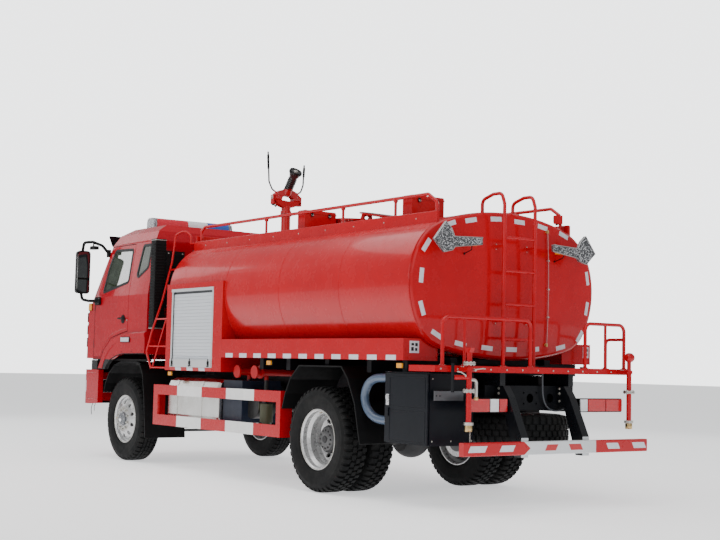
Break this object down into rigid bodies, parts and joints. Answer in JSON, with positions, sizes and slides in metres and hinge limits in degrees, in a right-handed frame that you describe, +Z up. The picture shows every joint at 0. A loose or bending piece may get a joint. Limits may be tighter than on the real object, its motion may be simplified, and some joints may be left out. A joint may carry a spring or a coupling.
{
  "type": "water tanker truck with fire monitor",
  "caption": "Two-axle cab-over water tanker truck with a flattened-round tank, side pump locker with roller shutters, roof fire monitor, rear platform and spray pipes.",
  "frame": {"origin": "centre of the bounding box on the ground, under the middle of the truck", "axes": "+X forward, +Y to the left side, +Z up; wheels stand on z = 0"},
  "size_m": [7.786, 2.91, 3.7905],
  "materials": {
    "red": "gloss",
    "black_steel": "satin",
    "black_plastic": "matt",
    "steel": "brushed",
    "wheel_silver": "satin",
    "shutter_silver": "satin",
    "aluminium": "polished",
    "tyre": "matt",
    "glass": "clear",
    "lamp_lens": "gloss",
    "lamp_leds": "beaded",
    "striped_paint": "gloss",
    "hose_rubber": "satin",
    "black_rubber": "matt",
    "seat_fabric": "woven",
    "cast_iron": "rough"
  },
  "bodies": {
    "chassis": {"air_intake": "black_plastic", "arrow_lamps": "lamp_leds", "cable_loop": "black_rubber", "chassis_crossmembers": "black_steel", "chassis_rails": "black_steel", "deck_coaming": "red", "engine_block": "cast_iron", "front_axle_beam": "black_steel", "front_bumper": "red", "fuel_tank": "aluminium", "handrails": "red", "ladders": "red", "lamps": "lamp_lens", "leaf_springs": "black_steel", "monitor_base": "red", "mudguards": "black_plastic", "platform_rails": "red", "pump_and_pipes": "black_steel", "pump_compartment": "red", "rear_axle_and_shaft": "black_steel", "rear_platform": "red", "right_side_tanks": "black_steel", "roller_shutters": "shutter_silver", "side_guards": "striped_paint", "side_skirts": "red", "spare_wheel": "tyre", "spray_pipes": "red", "suction_hose": "hose_rubber", "tank_subframe": "black_steel", "tool_box": "black_steel", "underrun_bar": "striped_paint", "water_tank": "red"},
    "cab": {"cab_glass": "glass", "cab_shell": "red", "dashboard": "black_plastic", "light_bar": "lamp_lens", "seats": "seat_fabric", "sun_visor": "black_plastic"},
    "front_flap": {"front_flap": "red"},
    "door_left": {"door_glass_left": "glass", "door_left": "red", "mirror_left": "black_plastic"},
    "door_right": {"door_glass_right": "glass", "door_right": "red", "mirror_right": "black_plastic"},
    "tool_box_door": {"tool_box_door": "black_steel"},
    "manhole_cover": {"manhole_cover": "red"},
    "monitor_swivel": {"monitor_swivel": "red"},
    "monitor_barrel": {"monitor_barrel": "red"},
    "knuckle_left": {"knuckle_left": "cast_iron"},
    "knuckle_right": {"knuckle_right": "cast_iron"},
    "tie_rod": {"tie_rod": "steel"},
    "front_wheel_left": {"tyre_front_left": "tyre", "wheel_front_left": "wheel_silver"},
    "front_wheel_right": {"tyre_front_right": "tyre", "wheel_front_right": "wheel_silver"},
    "rear_wheels_left": {"tyres_rear_left": "tyre", "wheel_rear_left": "wheel_silver"},
    "rear_wheels_right": {"tyres_rear_right": "tyre", "wheel_rear_right": "wheel_silver"}
  },
  "joints": [
    {"name": "cab_tilt", "type": "hinge", "parent": "chassis", "child": "cab", "pos_m": [3.693, 0, 1.12], "axis": [0, 1, 0], "range_deg": [0, 45]},
    {"name": "front_flap_lift", "type": "hinge", "parent": "cab", "child": "front_flap", "pos_m": [3.873, 0, 1.99], "axis": [0, -1, 0], "range_deg": [0, 65]},
    {"name": "door_left_hinge", "type": "hinge", "parent": "cab", "child": "door_left", "pos_m": [3.469, 1.196, 1.8], "axis": [0, 0, -1], "range_deg": [0, 55]},
    {"name": "door_right_hinge", "type": "hinge", "parent": "cab", "child": "door_right", "pos_m": [3.469, -1.196, 1.8], "axis": [0, 0, 1], "range_deg": [0, 55]},
    {"name": "tool_box_door_hinge", "type": "hinge", "parent": "chassis", "child": "tool_box_door", "pos_m": [-3.419, 1.17, 0.88], "axis": [0, 0, 1], "range_deg": [0, 110]},
    {"name": "manhole_cover_hinge", "type": "hinge", "parent": "chassis", "child": "manhole_cover", "pos_m": [-0.875, 0, 2.905], "axis": [0, 1, 0], "range_deg": [0, 190]},
    {"name": "monitor_turn", "type": "hinge", "parent": "chassis", "child": "monitor_swivel", "pos_m": [0.773, 0, 3.07], "axis": [0, 0, 1], "continuous": true},
    {"name": "monitor_elevate", "type": "hinge", "parent": "monitor_swivel", "child": "monitor_barrel", "pos_m": [0.773, 0, 3.244], "axis": [0, 1, 0], "range_deg": [-60, 38]},
    {"name": "steer_left", "type": "hinge", "parent": "chassis", "child": "knuckle_left", "pos_m": [2.646, 0.85, 0.52], "axis": [0, 0, 1], "range_deg": [-32, 32]},
    {"name": "steer_right", "type": "hinge", "parent": "chassis", "child": "knuckle_right", "pos_m": [2.646, -0.85, 0.52], "axis": [0, 0, 1], "range_deg": [-32, 32]},
    {"name": "tie_rod_pivot", "type": "hinge", "parent": "knuckle_left", "child": "tie_rod", "pos_m": [2.446, 0.85, 0.4], "axis": [0, 0, 1], "range_deg": [-32, 32]},
    {"name": "front_wheel_left_spin", "type": "hinge", "parent": "knuckle_left", "child": "front_wheel_left", "pos_m": [2.646, 1, 0.52], "axis": [0, 1, 0], "continuous": true},
    {"name": "front_wheel_right_spin", "type": "hinge", "parent": "knuckle_right", "child": "front_wheel_right", "pos_m": [2.646, -1, 0.52], "axis": [0, 1, 0], "continuous": true},
    {"name": "rear_wheels_left_spin", "type": "hinge", "parent": "chassis", "child": "rear_wheels_left", "pos_m": [-1.727, 0.895, 0.52], "axis": [0, 1, 0], "continuous": true},
    {"name": "rear_wheels_right_spin", "type": "hinge", "parent": "chassis", "child": "rear_wheels_right", "pos_m": [-1.727, -0.895, 0.52], "axis": [0, 1, 0], "continuous": true}
  ],
  "couplings": [
    {"joint": "steer_right", "follows": "steer_left", "ratio": 1},
    {"joint": "tie_rod_pivot", "follows": "steer_left", "ratio": -1}
  ]
}
